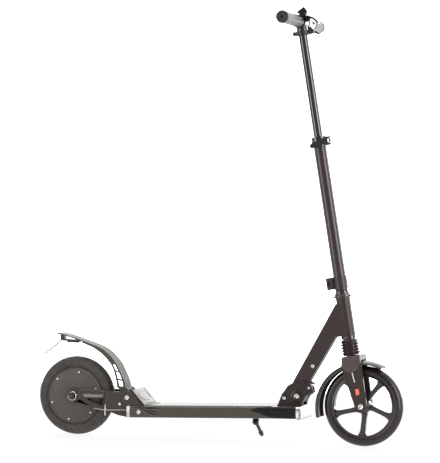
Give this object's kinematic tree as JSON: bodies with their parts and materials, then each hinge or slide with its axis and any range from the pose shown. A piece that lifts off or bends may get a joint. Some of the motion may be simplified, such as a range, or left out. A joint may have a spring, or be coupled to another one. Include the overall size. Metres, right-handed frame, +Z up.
{
  "type": "electric kick scooter",
  "caption": "Electric kick scooter: rear hub motor, foot-brake fender, folding neck with latch, telescopic stem, sprung fork, spoked front wheel and kickstand.",
  "frame": {"origin": "centre of the footprint on the ground, midway between the wheels", "axes": "+X forward, +Y to the rider's left, +Z up"},
  "size_m": [0.9509, 0.38, 1.0863],
  "materials": {
    "satin_black_paint": "satin powder coat on steel",
    "satin_black_alu": "satin powder coat on aluminium",
    "gloss_black_alu": "gloss black on aluminium",
    "gloss_black_paint": "gloss paint",
    "grip_tape": "gritty mat",
    "black_plastic": "fine texture",
    "gloss_plastic": "gloss",
    "fender_plastic": "semi-gloss grey-black",
    "grip_rubber": "matt dark grey",
    "boot_rubber": "semi-matt",
    "tyre": "rear solid tyre, matt",
    "wheel_pu": "front tyre, semi-gloss polyurethane",
    "steel": "zinc plated",
    "aluminium": "bare satin",
    "copper_iron": "laminated core with windings",
    "reflector": "red-orange reflector",
    "pack_wrap": "shrink wrap"
  },
  "bodies": {
    "deck": {"deck_extrusion": "satin_black_alu", "grip_tape": "grip_tape", "front_end_cap": "aluminium", "folding_bracket": "satin_black_alu", "bracket_bolts": "steel", "rear_bracket": "satin_black_alu", "rear_arms": "satin_black_alu", "heel_plate": "satin_black_alu", "fender_pivot_pin": "steel", "frame_screws": "steel", "battery_pack": "pack_wrap", "motor_controller": "aluminium", "charge_port": "black_plastic", "kickstand_mount": "satin_black_paint", "motor_axle": "steel", "motor_stator": "copper_iron", "axle_nuts": "steel"},
    "rear_wheel": {"motor_shell": "satin_black_paint", "motor_covers": "satin_black_alu", "hub_bearings": "steel", "cover_screws": "steel", "rear_tyre": "tyre"},
    "fender_brake": {"rear_fender": "fender_plastic", "brake_pad": "black_plastic", "mudflap": "boot_rubber"},
    "kickstand": {"kickstand_leg": "satin_black_paint"},
    "neck": {"neck_tube": "satin_black_alu", "neck_screws": "steel", "head_tube": "satin_black_alu", "headset_cups": "gloss_black_alu"},
    "latch": {"latch_lever": "gloss_black_paint"},
    "steering": {"lower_stem": "satin_black_alu", "headset_nut": "gloss_black_alu", "grip_holder": "black_plastic", "height_clamp": "gloss_black_alu", "clamp_bolt": "steel"},
    "height_lever": {"clamp_lever": "gloss_black_alu"},
    "front_fork": {"fork": "satin_black_alu", "front_fender": "fender_plastic", "fork_reflectors": "reflector", "front_axle": "steel", "suspension_spring": "steel", "suspension_boot": "boot_rubber"},
    "front_wheel": {"front_rim": "gloss_plastic", "front_tyre": "wheel_pu", "front_bearings": "steel"},
    "handlebar": {"upper_stem": "gloss_black_alu", "t_joint": "gloss_black_alu", "t_clamp": "black_plastic", "display_unit": "gloss_plastic"},
    "power_switch": {"power_button": "black_plastic"},
    "throttle": {"throttle_lever": "gloss_plastic"},
    "right_handle": {"right_bar": "gloss_black_alu", "right_grip": "grip_rubber"},
    "left_handle": {"left_bar": "gloss_black_alu", "left_grip": "grip_rubber", "brake_perch": "gloss_plastic"},
    "brake_thumb": {"brake_lever": "black_plastic"},
    "right_snap": {"right_snap_button": "steel"},
    "left_snap": {"left_snap_button": "steel"}
  },
  "joints": [
    {"name": "rear_wheel_spin", "type": "hinge", "parent": "deck", "child": "rear_wheel", "pos_m": [-0.3755, 0, 0.1], "axis": [0, 1, 0], "continuous": true},
    {"name": "foot_brake", "type": "hinge", "parent": "deck", "child": "fender_brake", "pos_m": [-0.2245, 0, 0.102], "axis": [0, -1, 0], "range_deg": [0, 12], "stiffness_Nm_per_rad": 20, "springref_deg": -8.59},
    {"name": "kickstand_fold", "type": "hinge", "parent": "deck", "child": "kickstand", "pos_m": [0.0875, 0.04, 0.048], "axis": [0, 0.5877, 0.8091], "range_deg": [0, 90]},
    {"name": "neck_fold", "type": "hinge", "parent": "deck", "child": "neck", "pos_m": [0.2095, 0, 0.119], "axis": [0, -1, 0], "range_deg": [0, 76]},
    {"name": "latch_pull", "type": "hinge", "parent": "deck", "child": "latch", "pos_m": [0.2405, 0, 0.141], "axis": [0, -1, 0], "range_deg": [0, 22], "stiffness_Nm_per_rad": 0.3, "springref_deg": -17.19},
    {"name": "steer", "type": "hinge", "parent": "neck", "child": "steering", "pos_m": [0.32953, 0, 0.29557], "axis": [-0.1712, 0, 0.9852], "range_deg": [-60, 60]},
    {"name": "height_lever_open", "type": "hinge", "parent": "steering", "child": "height_lever", "pos_m": [0.2747, -0.017, 0.757], "axis": [-0.1712, 0, 0.9852], "range_deg": [0, 110]},
    {"name": "suspension", "type": "slide", "parent": "steering", "child": "front_fork", "axis": [-0.1712, 0, 0.9852], "range_m": [0, 0.02], "stiffness_N_per_m": 12000, "springref_m": -0.012, "deforming": ["suspension_spring", "suspension_boot"]},
    {"name": "front_wheel_spin", "type": "hinge", "parent": "front_fork", "child": "front_wheel", "pos_m": [0.3755, 0, 0.1], "axis": [0, 1, 0], "continuous": true},
    {"name": "stem_height", "type": "slide", "parent": "steering", "child": "handlebar", "axis": [-0.1712, 0, 0.9852], "range_m": [-0.25, 0]},
    {"name": "power_press", "type": "slide", "parent": "handlebar", "child": "power_switch", "axis": [0.5872, 0, -0.8094], "range_m": [0, 0.001], "stiffness_N_per_m": 800, "springref_m": -0.001},
    {"name": "throttle_pull", "type": "hinge", "parent": "handlebar", "child": "throttle", "pos_m": [0.22477, -0.03, 1.0589], "axis": [0, 1, 0], "range_deg": [0, 20], "stiffness_Nm_per_rad": 0.25, "springref_deg": -20.05},
    {"name": "right_grip_pull", "type": "slide", "parent": "handlebar", "child": "right_handle", "axis": [0, -1, 0], "range_m": [0, 0.02], "stiffness_N_per_m": 150, "springref_m": -0.06},
    {"name": "left_grip_pull", "type": "slide", "parent": "handlebar", "child": "left_handle", "axis": [0, 1, 0], "range_m": [0, 0.02], "stiffness_N_per_m": 150, "springref_m": -0.06},
    {"name": "brake_thumb_press", "type": "hinge", "parent": "left_handle", "child": "brake_thumb", "pos_m": [0.21097, 0.062, 1.03316], "axis": [0, 1, 0], "range_deg": [0, 20], "stiffness_Nm_per_rad": 0.25, "springref_deg": -20.05},
    {"name": "right_snap_press", "type": "slide", "parent": "right_handle", "child": "right_snap", "axis": [-0.1712, 0, 0.9852], "range_m": [0, 0.003], "stiffness_N_per_m": 600, "springref_m": -0.002},
    {"name": "left_snap_press", "type": "slide", "parent": "left_handle", "child": "left_snap", "axis": [-0.1712, 0, 0.9852], "range_m": [0, 0.003], "stiffness_N_per_m": 600, "springref_m": -0.002}
  ]
}
